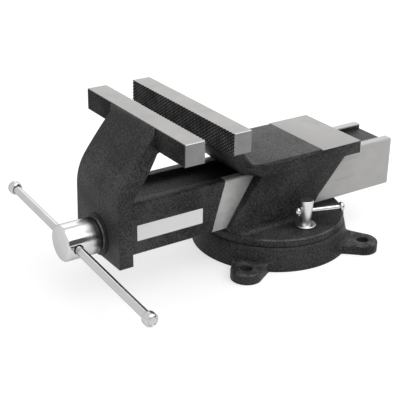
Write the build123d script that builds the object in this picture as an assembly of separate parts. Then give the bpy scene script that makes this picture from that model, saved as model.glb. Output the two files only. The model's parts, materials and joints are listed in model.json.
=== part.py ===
from build123d import *
from math import atan2, cos, degrees, hypot, radians, sin, sqrt
import os

# Swivel base bench vise, in millimetres. The origin is on the swivel axis, on the bench.
# +X is the operator's right, the handle is at -Y, the anvil at +Y, and +Z is up.

# Running and seating clearances
SLIDE_CLEARANCE = 0.3
RUNNING_FIT = 0.05
SCREW_CLEARANCE = 0.02
SOFT_CLEARANCE = 0.3
HOLE_CLEARANCE = 0.1

# Swivel plate of the fixed body
SWIVEL_RADIUS = 65.0
SWIVEL_BOTTOM_Z = 20.6
SWIVEL_THICKNESS = 6.8
SWIVEL_EDGE = 1.4
SWIVEL_TOP_Z = SWIVEL_BOTTOM_Z + SWIVEL_THICKNESS

# Main screw, its collar and its washers
SCREW_RADIUS = 11.0
SCREW_LENGTH = 278.0
SCREW_TAIL_CHAMFER = 2.0
HEAD_WALL = 4.1
HEAD_LENGTH = 31.1
HEAD_EDGE = 1.2
HEAD_RADIUS = SCREW_RADIUS + HEAD_WALL
THRUST_WASHER_INSET = 0.7
THRUST_WASHER_THICKNESS = 1.5
THRUST_WASHER_RADIUS = HEAD_RADIUS - THRUST_WASHER_INSET
COLLAR_WALL = 2.5
COLLAR_LENGTH = 10.0
COLLAR_PIN_RADIUS = 2.0
COLLAR_RADIUS = SCREW_RADIUS + COLLAR_WALL
SPRING_WASHER_INSET = 0.5
SPRING_WASHER_HEIGHT = 1.6
SPRING_WASHER_SHEET = 0.8
SPRING_WASHER_RADIUS = COLLAR_RADIUS - SPRING_WASHER_INSET

# Slide of the moving jaw: an H section, open above and below its web
SLIDE_WIDTH = 50.8
SLIDE_HEIGHT = 44.9
SLIDE_LENGTH = 278.4
SLIDE_EDGE = 1.0
FLOOR_RISE = 6.4
SLIDEWAY_FLOOR_Z = SWIVEL_TOP_Z + FLOOR_RISE
SLIDE_BOTTOM_Z = SLIDEWAY_FLOOR_Z + SLIDE_CLEARANCE
SLIDE_TOP_Z = SLIDE_BOTTOM_Z + SLIDE_HEIGHT
RAIL_WIDTH = 7.8
GROOVE_DEPTH = 4.5
WEB_THICKNESS = 5.0
COLLAR_ROOM = 1.5
GROOVE_WIDTH = SLIDE_WIDTH - 2 * RAIL_WIDTH
CHANNEL_WIDTH = 2 * (COLLAR_RADIUS + COLLAR_ROOM)
CHANNEL_TOP_Z = SLIDE_TOP_Z - GROOVE_DEPTH - WEB_THICKNESS
SLIDEWAY_WIDTH = SLIDE_WIDTH + 2 * SLIDE_CLEARANCE
SLIDEWAY_ROOF_Z = SLIDE_TOP_Z + SLIDE_CLEARANCE
SCREW_Z = SLIDE_BOTTOM_Z + COLLAR_RADIUS + HOLE_CLEARANCE

# Walls of the fixed body about the slideway
WALL_THICKNESS_TOP = 9.7
WALL_THICKNESS_LOW = 4.8
WALL_LOW_RISE = 10.9
WALL_FRONT_TOP_Y = -38.5
WALL_FRONT_LOW_Y = -67.5
WALL_FRONT_FOOT_Y = -60.0
WALL_REAR_LOW_Y = 21.0
WALL_FOOT_BLEND = 5.0
PROW_FLARE = 1.25
WALL_LOW_Z = SLIDE_BOTTOM_Z + WALL_LOW_RISE
WALL_WIDTH_TOP = SLIDEWAY_WIDTH + 2 * WALL_THICKNESS_TOP
WALL_WIDTH_LOW = SLIDEWAY_WIDTH + 2 * WALL_THICKNESS_LOW

# Anvil table with its milled pad
TABLE_OVERHANG = 2.6
TABLE_THICKNESS = 11.4
TABLE_REAR_Y = 66.7
TABLE_REAR_OVERHANG = 13.7
TABLE_EDGE = 2.0
ROOF_STEP = 0.4
PAD_LENGTH = 43.0
PAD_EDGE = 0.5
TABLE_WIDTH = WALL_WIDTH_TOP + 2 * TABLE_OVERHANG
TABLE_BOTTOM_Z = SLIDEWAY_ROOF_Z + ROOF_STEP
TABLE_TOP_Z = TABLE_BOTTOM_Z + TABLE_THICKNESS
PAD_FRONT_Y = TABLE_REAR_Y - PAD_LENGTH

# Jaws
JAW_WIDTH = 150.0
JAW_HEIGHT = 18.1
JAW_RISE = 33.1
FIXED_JAW_FACE_Y = -98.0
FIXED_JAW_DEPTH = 17.1
MOVING_JAW_DEPTH = 18.2
JAW_OPENING = 25.1
JAW_EDGE = 0.6
JAW_SEAT_Z = TABLE_TOP_Z + JAW_RISE
JAW_TOP_Z = JAW_SEAT_Z + JAW_HEIGHT
MOVING_JAW_FACE_Y = FIXED_JAW_FACE_Y - JAW_OPENING
MOVING_JAW_FRONT_Y = MOVING_JAW_FACE_Y - MOVING_JAW_DEPTH

# Support of the fixed jaw, which leans forward from the table and flares out to the jaw
SUPPORT_TOP_DEPTH = 11.5
SUPPORT_REAR_FOOT_Y = -48.3
SUPPORT_REAR_BLEND = 30.0
SUPPORT_FOOT_Y = -51.0
SUPPORT_CORNER_X = 15.0
SUPPORT_WAIST_CORNER = 6.0

# Front plate of the moving jaw, which leans back to carry its jaw
PLATE_OVERHANG = 10.9
PLATE_DRAFT = 2.6
PLATE_FORWARD = 33.7
PLATE_THICKNESS = 12.4
PLATE_DROP = 4.1
PLATE_BEND_RISE = 14.2
PLATE_BEND_RADIUS = 45.0
PLATE_INNER_BEND_DROP = 8.5
PLATE_INNER_BEND_RADIUS = 12.0
PLATE_BULGE = 1.1
PLATE_INNER_BULGE = -1.4
PLATE_LIP = 1.0
PLATE_LIP_DROP = 5.5
PLATE_CORBEL = 9.0
PLATE_CORBEL_FOOT = 2.6
PLATE_CORBEL_DROP = 2.7
PLATE_EDGE = 1.8
PLATE_WIDTH = SLIDE_WIDTH + 2 * PLATE_OVERHANG
PLATE_FRONT_Y = MOVING_JAW_FRONT_Y - PLATE_FORWARD
PLATE_REAR_Y = PLATE_FRONT_Y + PLATE_THICKNESS
PLATE_BOTTOM_Z = SLIDE_BOTTOM_Z - PLATE_DROP
PLATE_BEND_Z = SLIDE_TOP_Z + PLATE_BEND_RISE
BOSS_WALL = 6.5
BOSS_HEIGHT = 1.5
BOSS_RADIUS = SCREW_RADIUS + BOSS_WALL
BOSS_FRONT_Y = PLATE_FRONT_Y - BOSS_HEIGHT
SLIDE_REAR_Y = PLATE_REAR_Y + SLIDE_LENGTH

# Places along the screw
HEAD_REAR_Y = BOSS_FRONT_Y - THRUST_WASHER_THICKNESS
HEAD_FRONT_Y = HEAD_REAR_Y - HEAD_LENGTH
SCREW_TAIL_Y = HEAD_REAR_Y + SCREW_LENGTH
COLLAR_FRONT_Y = PLATE_REAR_Y + SPRING_WASHER_HEIGHT

# Handle, which slides through the head
HANDLE_RADIUS = 3.5
HANDLE_LENGTH = 232.0
HANDLE_SHIFT = 10.0
HANDLE_DIP = 4.1
HANDLE_FROM_FRONT = 9.1
CAP_RADIUS = 5.6
CAP_LENGTH = 8.0
CAP_EDGE = 1.6
CAP_SOCKET = 6.0
CAP_RECESS_RADIUS = 3.3
CAP_RECESS_DEPTH = 0.7

# Screw nut, bolted to the floor of the slideway
NUT_FRONT_Y = -60.0
NUT_LENGTH = 40.0
NUT_HEADROOM = 6.5
NUT_SHOULDER = 6.0
NUT_WIDTH = CHANNEL_WIDTH - 2 * SLIDE_CLEARANCE
NUT_TOP_Z = CHANNEL_TOP_Z - NUT_HEADROOM
NUT_BOLT_RADIUS = 4.0
NUT_BOLT_HEAD_RADIUS = 6.5
NUT_BOLT_HEAD_HEIGHT = 8.0
NUT_BOLT_SOCKET_RADIUS = 3.0
NUT_BOLT_SOCKET_DEPTH = 4.0
NUT_BOLT_SPACING = 20.0
NUT_BOLT_TIP_GAP = 1.5

# Swivel base
BASE_FOOT_FLARE = 5.5
BASE_SHOULDER_FLARE = 1.3
BASE_SHOULDER_DROP = 2.0
BASE_RIM_INSET = 0.7
BASE_TURN = -5.6
BASE_TOP_Z = SWIVEL_BOTTOM_Z
BASE_RADIUS = SWIVEL_RADIUS + BASE_FOOT_FLARE
BASE_TOP_RADIUS = SWIVEL_RADIUS - BASE_RIM_INSET
LUG_COUNT = 4
LUG_REACH = 13.3
LUG_HOLE_RADIUS = 5.5
LUG_END_RADIUS = 13.4
LUG_ROOT_WIDTH = 34.0
LUG_HEIGHT = 9.0
LUG_BLEND = 7.0
LUG_EDGE = 1.2
LUG_CIRCLE_RADIUS = BASE_RADIUS + LUG_REACH

# Lock bolts, their T-nuts and the ring slot in the base
LOCK_FROM_WALL = 14.2
LOCK_Y = 3.5
LOCK_BOLT_RADIUS = 5.0
LOCK_HOLE_CLEARANCE = 0.5
LOCK_HEAD_TOP_RADIUS = 6.1
LOCK_HEAD_FOOT_RADIUS = 4.3
LOCK_HEAD_CROWN = 1.1
LOCK_HEAD_RISE = 24.3
LOCK_WASHER_RADIUS = 9.1
LOCK_WASHER_THICKNESS = 1.8
SLOT_MOUTH_WIDTH = 13.0
SLOT_WIDTH = 22.0
SLOT_FLOOR_Z = 5.5
SLOT_LIP = 7.1
T_NUT_LENGTH = 22.0
T_NUT_SIDE_ROOM = 1.8
T_NUT_NECK_LENGTH = 16.0
T_NUT_NECK_ROOM = 0.8
T_NUT_NECK_DROP = 2.1
LOCK_X = WALL_WIDTH_LOW / 2 + LOCK_FROM_WALL
LOCK_HEAD_TOP_Z = SWIVEL_TOP_Z + LOCK_HEAD_RISE
SLOT_SHOULDER_Z = BASE_TOP_Z - SLOT_LIP
SLOT_RADIUS = hypot(LOCK_X, LOCK_Y)
LOCK_AZIMUTH = degrees(atan2(LOCK_Y, LOCK_X))

# Lock bars, which slide through the heads of the lock bolts
BAR_RADIUS = 2.0
BAR_RISE = 14.0
BAR_AZIMUTH = 16.7
BAR_REACH = 33.1
BUTTON_RADIUS = 4.2
BUTTON_LENGTH = 4.7
BUTTON_EDGE = 1.4
BUTTON_SOCKET = 2.9
BUTTON_STANDOFF = -0.2
BAR_Z = SWIVEL_TOP_Z + BAR_RISE
BAR_STOP_RADIUS = LOCK_HEAD_TOP_RADIUS + BUTTON_STANDOFF

# Pivot under the swivel plate
PIVOT_RADIUS = 14.0
PIVOT_SEAT_Z = 11.0
PIVOT_RUNNING_GAP = 0.2
PIVOT_BOLT_RADIUS = 6.0
PIVOT_BOLT_COVER = 4.0
PIVOT_HEAD_ACROSS_FLATS = 19.0
PIVOT_HEAD_HEIGHT = 7.5
PIVOT_WASHER_RADIUS = 17.0
PIVOT_WASHER_THICKNESS = 2.5
PIVOT_RECESS_RADIUS = 18.0
PIVOT_BOTTOM_Z = PIVOT_SEAT_Z - PIVOT_RUNNING_GAP
PIVOT_BOLT_TIP_Z = SLIDEWAY_FLOOR_Z - PIVOT_BOLT_COVER

# Blank label on the side of the slide
LABEL_LENGTH = 62.4
LABEL_HEIGHT = 13.6
LABEL_THICKNESS = 0.25
LABEL_FROM_PLATE = 9.2
LABEL_RISE = 11.9
LABEL_CORNER = 0.8

SIDES = {"right": 1, "left": -1}


def block(x, y, z):
    """A box from its low and high coordinates along each axis."""
    size = [high - low for low, high in (x, y, z)]
    middle = [(high + low) / 2 for low, high in (x, y, z)]
    return Pos(*middle) * Box(*size)


def spread(width):
    """The low and high coordinates of a width centred on zero."""
    return -width / 2, width / 2


def disc(radius, z):
    """An upright cylinder between two heights."""
    return Pos(0, 0, sum(z) / 2) * Cylinder(radius, z[1] - z[0])


def rod(radius, y):
    """A cylinder along Y on the screw's axis."""
    return Pos(0, sum(y) / 2, SCREW_Z) * Rot(90, 0, 0) * Cylinder(radius, y[1] - y[0])


def side_profile(outline, width):
    """A closed outline of edges in the YZ plane, extruded evenly to both sides of X = 0."""
    return extrude(make_face(outline), width / 2, dir=(1, 0, 0), both=True)


def side_polygon(points, width):
    """A solid with straight sides from its outline in the YZ plane."""
    return side_profile(Polyline([(0, y, z) for y, z in points], close=True), width)


def bulging(start, end, bulge):
    """An arc in the YZ plane that stands out from its chord: above it, or below if negative."""
    chord = Vector(end) - Vector(start)
    outward = Vector(0, -chord.Z, chord.Y).normalized()
    return ThreePointArc(start, Vector(start) + chord / 2 + outward * bulge, end)


def revolved(points):
    """A solid turned about Z from its outline of radius and height."""
    return revolve(make_face(Polyline([(r, 0, z) for r, z in points], close=True)), Axis.Z)


def bevelled_cylinder(radius, length, edge):
    """A cylinder along Z from zero, with both rims bevelled."""
    body = Pos(0, 0, length / 2) * Cylinder(radius, length)
    return chamfer(body.edges().filter_by(GeomType.CIRCLE), edge)


# The swivel base


def lugged_plate():
    """The four bolting lugs on one plate, with blended roots, that goes through the ring."""
    hub_radius = ring_radius(LUG_HEIGHT)
    root_x = hub_radius - LUG_BLEND
    neck = Polyline(
        (root_x, -LUG_ROOT_WIDTH / 2),
        (LUG_CIRCLE_RADIUS, -LUG_END_RADIUS),
        (LUG_CIRCLE_RADIUS, LUG_END_RADIUS),
        (root_x, LUG_ROOT_WIDTH / 2),
        close=True,
    )
    lug = make_face(neck) + Pos(LUG_CIRCLE_RADIUS, 0) * Circle(LUG_END_RADIUS)
    plan = Circle(hub_radius) + [place * lug for place in lug_places(0)]
    roots = [
        corner
        for corner in plan.vertices()
        if abs(hypot(corner.X, corner.Y) - hub_radius) < LUG_EDGE
    ]
    plate = extrude(fillet(roots, LUG_BLEND), LUG_HEIGHT)
    plate = chamfer(plate.edges().group_by(Axis.Z)[-1], LUG_EDGE)
    hole = disc(LUG_HOLE_RADIUS, (0, LUG_HEIGHT))
    return plate - [place * hole for place in lug_places(LUG_CIRCLE_RADIUS)]


def lug_places(radius):
    """The directions of the lugs, at a radius about the swivel axis."""
    return PolarLocations(radius, LUG_COUNT, start_angle=BASE_TURN + 180 / LUG_COUNT)


def ring_radius(z):
    """The radius of the ring's tapered flank at a height."""
    taper = (BASE_FOOT_FLARE - BASE_SHOULDER_FLARE) / (BASE_TOP_Z - BASE_SHOULDER_DROP)
    return BASE_RADIUS - taper * z


def ring_slot():
    """The T-shaped ring slot for the T-nuts, with one place where its lips are open."""
    mouth = SLOT_MOUTH_WIDTH / 2
    wide = SLOT_WIDTH / 2
    ring = revolved(
        [
            (SLOT_RADIUS - wide, SLOT_FLOOR_Z),
            (SLOT_RADIUS + wide, SLOT_FLOOR_Z),
            (SLOT_RADIUS + wide, SLOT_SHOULDER_Z),
            (SLOT_RADIUS + mouth, SLOT_SHOULDER_Z),
            (SLOT_RADIUS + mouth, BASE_TOP_Z),
            (SLOT_RADIUS - mouth, BASE_TOP_Z),
            (SLOT_RADIUS - mouth, SLOT_SHOULDER_Z),
            (SLOT_RADIUS - wide, SLOT_SHOULDER_Z),
        ]
    )
    entry = block(
        spread(T_NUT_LENGTH + 2 * T_NUT_SIDE_ROOM),
        (SLOT_RADIUS - wide, SLOT_RADIUS + wide),
        (SLOT_FLOOR_Z, BASE_TOP_Z),
    )
    return ring + entry


def make_swivel_base():
    ring = revolved(
        [
            (0, 0),
            (BASE_RADIUS, 0),
            (SWIVEL_RADIUS + BASE_SHOULDER_FLARE, BASE_TOP_Z - BASE_SHOULDER_DROP),
            (BASE_TOP_RADIUS, BASE_TOP_Z),
            (0, BASE_TOP_Z),
        ]
    )
    body = ring + lugged_plate() - ring_slot()
    body -= disc(PIVOT_RADIUS + RUNNING_FIT, (PIVOT_SEAT_Z, BASE_TOP_Z))
    return body - disc(PIVOT_RECESS_RADIUS, (0, PIVOT_SEAT_Z))


# The fixed body


def wall_front_view():
    """The walls from the front: narrow at the foot, wider under the table, blended to the plate."""
    half_top = WALL_WIDTH_TOP / 2
    half_low = WALL_WIDTH_LOW / 2
    foot = WALL_FOOT_BLEND
    short = foot * (1 - cos(radians(45)))

    def flank(side):
        return [
            Polyline(
                (side * half_top, 0, TABLE_BOTTOM_Z),
                (side * half_low, 0, WALL_LOW_Z),
                (side * half_low, 0, SWIVEL_TOP_Z + foot),
            ),
            ThreePointArc(
                (side * half_low, 0, SWIVEL_TOP_Z + foot),
                (side * (half_low + short), 0, SWIVEL_TOP_Z + short),
                (side * (half_low + foot), 0, SWIVEL_TOP_Z),
            ),
        ]

    return [
        Line((-half_top, 0, TABLE_BOTTOM_Z), (half_top, 0, TABLE_BOTTOM_Z)),
        *flank(1),
        Line((half_low + foot, 0, SWIVEL_TOP_Z), (-half_low - foot, 0, SWIVEL_TOP_Z)),
        *flank(-1),
    ]


def body_walls():
    """The leaning walls about the slideway, with a prow over the rim of the swivel plate."""
    wall_rear_y = TABLE_REAR_Y - TABLE_REAR_OVERHANG
    leaning = side_polygon(
        [
            (WALL_FRONT_TOP_Y, TABLE_BOTTOM_Z),
            (WALL_FRONT_LOW_Y, SLIDEWAY_FLOOR_Z),
            (WALL_FRONT_FOOT_Y, SWIVEL_TOP_Z),
            (WALL_REAR_LOW_Y, SWIVEL_TOP_Z),
            (WALL_REAR_LOW_Y, SLIDEWAY_FLOOR_Z),
            (wall_rear_y, TABLE_BOTTOM_Z),
        ],
        TABLE_WIDTH,
    )
    tapered = extrude(make_face(wall_front_view()), SWIVEL_RADIUS * 2, dir=(0, 1, 0), both=True)
    rise = TABLE_BOTTOM_Z - SWIVEL_TOP_Z
    rim_cone = Pos(0, 0, SWIVEL_TOP_Z + rise / 2) * Cone(
        SWIVEL_RADIUS - SWIVEL_EDGE,
        SWIVEL_RADIUS - SWIVEL_EDGE + rise * PROW_FLARE,
        rise,
    )
    return leaning & tapered & rim_cone


def support_flanks():
    """The support from the front: as wide as the table up to its waist, then flared to the jaw."""
    points = [
        (TABLE_WIDTH / 2, TABLE_BOTTOM_Z),
        (TABLE_WIDTH / 2, TABLE_TOP_Z),
        (JAW_WIDTH / 2, JAW_SEAT_Z),
    ]
    mirrored = [(-x, z) for x, z in reversed(points)]
    outline = Polyline([(x, 0, z) for x, z in points + mirrored], close=True)
    return extrude(make_face(outline), JAW_WIDTH, dir=(0, 1, 0), both=True)


def support_corner_cut(side):
    """What is cut off the support's front corner, beyond a plane that leans with its front."""
    lean = (SUPPORT_FOOT_Y - FIXED_JAW_FACE_Y) / (JAW_SEAT_Z - TABLE_BOTTOM_Z)
    waist_y = FIXED_JAW_FACE_Y + (JAW_SEAT_Z - TABLE_TOP_Z) * lean
    top_front = Vector(side * (JAW_WIDTH / 2 - SUPPORT_CORNER_X), FIXED_JAW_FACE_Y, JAW_SEAT_Z)
    top_side = Vector(side * JAW_WIDTH / 2, FIXED_JAW_FACE_Y + SUPPORT_TOP_DEPTH, JAW_SEAT_Z)
    waist = Vector(side * (TABLE_WIDTH / 2 - SUPPORT_WAIST_CORNER), waist_y, TABLE_TOP_Z)
    along = (top_side - top_front).normalized()
    outward = along.cross(top_front - waist) * side
    face = Plane(origin=top_front, x_dir=along, z_dir=outward) * Rectangle(
        2 * JAW_WIDTH, 2 * JAW_WIDTH
    )
    return extrude(face, JAW_WIDTH / 2, dir=outward.normalized())


def jaw_support():
    """The flared support that leans forward from the table to the fixed jaw."""
    rear_top_y = FIXED_JAW_FACE_Y + SUPPORT_TOP_DEPTH
    rear_end_y = SUPPORT_REAR_FOOT_Y + SUPPORT_REAR_BLEND
    rear = FilletPolyline(
        (0, rear_top_y, JAW_SEAT_Z),
        (0, SUPPORT_REAR_FOOT_Y, TABLE_TOP_Z),
        (0, rear_end_y, TABLE_TOP_Z),
        radius=SUPPORT_REAR_BLEND,
    )
    rest = Polyline(
        (0, rear_end_y, TABLE_TOP_Z),
        (0, rear_end_y, TABLE_BOTTOM_Z),
        (0, SUPPORT_FOOT_Y, TABLE_BOTTOM_Z),
        (0, FIXED_JAW_FACE_Y, JAW_SEAT_Z),
        (0, rear_top_y, JAW_SEAT_Z),
    )
    support = side_profile(rear.edges() + rest.edges(), JAW_WIDTH) & support_flanks()
    return support - [support_corner_cut(side) for side in SIDES.values()]


def anvil_table():
    """The table with the jaw's support, cast with broad edges, and its pad with milled edges."""
    blend_end_y = SUPPORT_REAR_FOOT_Y + SUPPORT_REAR_BLEND
    cast = jaw_support() + block(
        spread(TABLE_WIDTH),
        (blend_end_y, PAD_FRONT_Y),
        (TABLE_BOTTOM_Z, TABLE_TOP_Z),
    )
    blends = cast.edges().filter_by(GeomType.ELLIPSE)
    borders = cast.edges().filter_by(Axis.Y).filter_by_position(Axis.Z, TABLE_TOP_Z, TABLE_TOP_Z)
    table_edges = [edge for edge in borders if edge.bounding_box().max.Y > blend_end_y]
    cast = chamfer(blends + table_edges, TABLE_EDGE)
    pad = block(
        spread(TABLE_WIDTH),
        (PAD_FRONT_Y, TABLE_REAR_Y),
        (TABLE_BOTTOM_Z, TABLE_TOP_Z),
    )
    return cast + chamfer(pad.edges().group_by(Axis.Z)[-1], PAD_EDGE)


def make_fixed_body():
    plate = disc(SWIVEL_RADIUS, (SWIVEL_BOTTOM_Z, SWIVEL_TOP_Z))
    plate = chamfer(plate.edges().group_by(Axis.Z)[-1], SWIVEL_EDGE)
    body = plate + body_walls() + anvil_table()
    body -= block(
        spread(SLIDEWAY_WIDTH),
        spread(2 * JAW_WIDTH),
        (SLIDEWAY_FLOOR_Z, SLIDEWAY_ROOF_Z),
    )
    body += disc(PIVOT_RADIUS, (PIVOT_BOTTOM_Z, SWIVEL_BOTTOM_Z))
    body -= disc(PIVOT_BOLT_RADIUS + SCREW_CLEARANCE, (PIVOT_BOTTOM_Z, PIVOT_BOLT_TIP_Z))
    for place in nut_bolt_places():
        shank = disc(NUT_BOLT_RADIUS + SOFT_CLEARANCE, (SWIVEL_BOTTOM_Z, SLIDEWAY_FLOOR_Z))
        head = disc(NUT_BOLT_HEAD_RADIUS + SOFT_CLEARANCE, (SWIVEL_BOTTOM_Z, nut_bolt_seat()))
        body -= place * (shank + head)
    for side in SIDES.values():
        body -= Pos(side * LOCK_X, LOCK_Y) * disc(
            LOCK_BOLT_RADIUS + LOCK_HOLE_CLEARANCE, (SWIVEL_BOTTOM_Z, SWIVEL_TOP_Z)
        )
    return body


# The jaws and the moving jaw with its slide


def make_jaw_bar(front_y, depth):
    """A hardened jaw, ground square with its edges broken."""
    bar = block(spread(JAW_WIDTH), (front_y, front_y + depth), (JAW_SEAT_Z, JAW_TOP_Z))
    return chamfer(bar.edges().group_by(Axis.Z)[-1], JAW_EDGE)


def plate_flanks():
    """The front plate from the front: a little narrower at the jaw than at its foot."""
    foot = PLATE_WIDTH / 2
    top = foot - PLATE_DRAFT
    outline = Polyline(
        (-foot, 0, PLATE_BOTTOM_Z),
        (foot, 0, PLATE_BOTTOM_Z),
        (top, 0, JAW_TOP_Z),
        (-top, 0, JAW_TOP_Z),
        close=True,
    )
    return extrude(make_face(outline), SLIDE_LENGTH, dir=(0, 1, 0), both=True)


def front_plate():
    """The front plate, upright about the screw and leaning back above to carry the jaw."""
    lip_y = MOVING_JAW_FRONT_Y - PLATE_LIP
    bend = (0, PLATE_FRONT_Y, PLATE_BEND_Z)
    inner_bend = (0, PLATE_REAR_Y, PLATE_BEND_Z - PLATE_INNER_BEND_DROP)
    lean_top = (0, lip_y, JAW_TOP_Z - PLATE_LIP_DROP)
    inner_top = (0, MOVING_JAW_FRONT_Y + PLATE_CORBEL_FOOT, JAW_SEAT_Z - PLATE_CORBEL_DROP)
    lower = Polyline(
        inner_bend,
        (0, PLATE_REAR_Y, PLATE_BOTTOM_Z),
        (0, PLATE_FRONT_Y, PLATE_BOTTOM_Z),
        bend,
    )
    upper = Polyline(
        lean_top,
        (0, lip_y, JAW_TOP_Z - PLATE_LIP),
        (0, MOVING_JAW_FRONT_Y, JAW_TOP_Z - PLATE_LIP / 2),
        (0, MOVING_JAW_FRONT_Y, JAW_SEAT_Z),
        (0, MOVING_JAW_FRONT_Y + PLATE_CORBEL, JAW_SEAT_Z),
        inner_top,
    )
    front_lean = bulging(bend, lean_top, PLATE_BULGE)
    inner_lean = bulging(inner_bend, inner_top, PLATE_INNER_BULGE)
    plate = side_profile([*lower.edges(), front_lean, *upper.edges(), inner_lean], PLATE_WIDTH)
    across = plate.edges().filter_by(Axis.X)
    plate = fillet(across.sort_by_distance(bend)[0], PLATE_BEND_RADIUS)
    across = plate.edges().filter_by(Axis.X)
    plate = fillet(across.sort_by_distance(inner_bend)[0], PLATE_INNER_BEND_RADIUS)
    plate &= plate_flanks()
    sides = plate.faces().sort_by(Axis.X)
    borders = sides[0].edges() + sides[-1].edges()
    return fillet(borders.filter_by_position(Axis.Y, PLATE_FRONT_Y, lip_y - PLATE_EDGE), PLATE_EDGE)


def slide():
    """The H-section slide, with a shallow groove above its web and the screw's channel below."""
    bar = block(
        spread(SLIDE_WIDTH),
        (PLATE_REAR_Y, SLIDE_REAR_Y),
        (SLIDE_BOTTOM_Z, SLIDE_TOP_Z),
    )
    bar = chamfer(bar.edges().filter_by(Axis.Y), SLIDE_EDGE)
    groove = block(
        spread(GROOVE_WIDTH),
        (PLATE_REAR_Y, SLIDE_REAR_Y),
        (SLIDE_TOP_Z - GROOVE_DEPTH, SLIDE_TOP_Z),
    )
    channel = block(
        spread(CHANNEL_WIDTH),
        (PLATE_REAR_Y, SLIDE_REAR_Y),
        (SLIDE_BOTTOM_Z, CHANNEL_TOP_Z),
    )
    return bar - groove - channel


def make_moving_jaw():
    body = front_plate() + slide()
    body += rod(BOSS_RADIUS, (BOSS_FRONT_Y, PLATE_FRONT_Y))
    body -= rod(SCREW_RADIUS + RUNNING_FIT, (BOSS_FRONT_Y, PLATE_REAR_Y))
    return body


# The main screw and its nut


def make_main_screw():
    """The screw with its forged head, which is cross-drilled for the handle."""
    head = rod(HEAD_RADIUS, (HEAD_FRONT_Y, HEAD_REAR_Y))
    head = chamfer(head.edges().filter_by(GeomType.CIRCLE).sort_by(Axis.Y)[0], HEAD_EDGE)
    shank = rod(SCREW_RADIUS, (HEAD_REAR_Y, SCREW_TAIL_Y))
    shank = chamfer(
        shank.edges().filter_by(GeomType.CIRCLE).sort_by(Axis.Y)[-1], SCREW_TAIL_CHAMFER
    )
    hole = Cylinder(HANDLE_RADIUS + HOLE_CLEARANCE, HEAD_RADIUS * 3)
    screw = head + shank
    screw -= handle_place() * hole
    return screw - collar_pin(COLLAR_PIN_RADIUS + SCREW_CLEARANCE, COLLAR_RADIUS)


def make_thrust_washer():
    ring = rod(THRUST_WASHER_RADIUS, (HEAD_REAR_Y, BOSS_FRONT_Y))
    return ring - rod(SCREW_RADIUS + RUNNING_FIT, (HEAD_REAR_Y, BOSS_FRONT_Y))


def make_spring_washer():
    """A dished ring between the front plate and the collar."""
    inner = SCREW_RADIUS + RUNNING_FIT
    rise = SPRING_WASHER_HEIGHT - SPRING_WASHER_SHEET
    ring = revolved(
        [
            (inner, 0),
            (inner, SPRING_WASHER_SHEET),
            (SPRING_WASHER_RADIUS, SPRING_WASHER_HEIGHT),
            (SPRING_WASHER_RADIUS, rise),
        ]
    )
    return Pos(0, PLATE_REAR_Y, SCREW_Z) * Rot(-90, 0, 0) * ring


def collar_pin(radius, half_length):
    """The upright pin through the collar and the screw."""
    middle_y = COLLAR_FRONT_Y + COLLAR_LENGTH / 2
    return Pos(0, middle_y, SCREW_Z) * Cylinder(radius, 2 * half_length)


def make_collar():
    y = (COLLAR_FRONT_Y, COLLAR_FRONT_Y + COLLAR_LENGTH)
    ring = rod(COLLAR_RADIUS, y) - rod(SCREW_RADIUS + RUNNING_FIT, y)
    return ring - collar_pin(COLLAR_PIN_RADIUS + SCREW_CLEARANCE, COLLAR_RADIUS)


def nut_bolt_places():
    """The two bolts of the nut, in line under the screw."""
    middle = NUT_FRONT_Y + NUT_LENGTH / 2
    return [Pos(0, middle + offset, 0) for offset in spread(NUT_BOLT_SPACING)]


def nut_bolt_seat():
    """The height at which the heads of the nut's bolts bear on the swivel plate."""
    return SWIVEL_BOTTOM_Z + NUT_BOLT_HEAD_HEIGHT + SOFT_CLEARANCE


def make_screw_nut():
    nut = block(
        spread(NUT_WIDTH),
        (NUT_FRONT_Y, NUT_FRONT_Y + NUT_LENGTH),
        (SLIDEWAY_FLOOR_Z, NUT_TOP_Z),
    )
    nut = chamfer(nut.edges().filter_by(Axis.Y).group_by(Axis.Z)[-1], NUT_SHOULDER)
    nut -= rod(SCREW_RADIUS + RUNNING_FIT, (NUT_FRONT_Y, NUT_FRONT_Y + NUT_LENGTH))
    for place in nut_bolt_places():
        nut -= place * disc(NUT_BOLT_RADIUS + SCREW_CLEARANCE, (SLIDEWAY_FLOOR_Z, SCREW_Z))
    return nut


def make_nut_bolts():
    """Socket head bolts from below the swivel plate into the nut."""
    seat = nut_bolt_seat()
    head_bottom = seat - NUT_BOLT_HEAD_HEIGHT
    socket = extrude(RegularPolygon(NUT_BOLT_SOCKET_RADIUS, 6), NUT_BOLT_SOCKET_DEPTH)
    bolt = disc(NUT_BOLT_HEAD_RADIUS, (head_bottom, seat))
    bolt += disc(NUT_BOLT_RADIUS, (seat, SCREW_Z - SCREW_RADIUS - NUT_BOLT_TIP_GAP))
    bolt -= Pos(0, 0, head_bottom) * socket
    return Compound([place * bolt for place in nut_bolt_places()])


# The handle


def handle_place():
    """The handle's middle in the screw's head, with local Z along the handle to the right."""
    return Pos(0, HEAD_FRONT_Y + HANDLE_FROM_FRONT, SCREW_Z) * Rot(0, 90 + HANDLE_DIP, 0)


def handle_ends():
    """Where the handle ends, along its own length from the screw's axis."""
    return HANDLE_SHIFT - HANDLE_LENGTH / 2, HANDLE_SHIFT + HANDLE_LENGTH / 2


def make_handle_bar():
    low, high = handle_ends()
    neck = CAP_LENGTH - CAP_SOCKET
    bar = Cylinder(HANDLE_RADIUS, high - low - 2 * neck)
    return handle_place() * Pos(0, 0, (high + low) / 2) * bar


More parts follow.
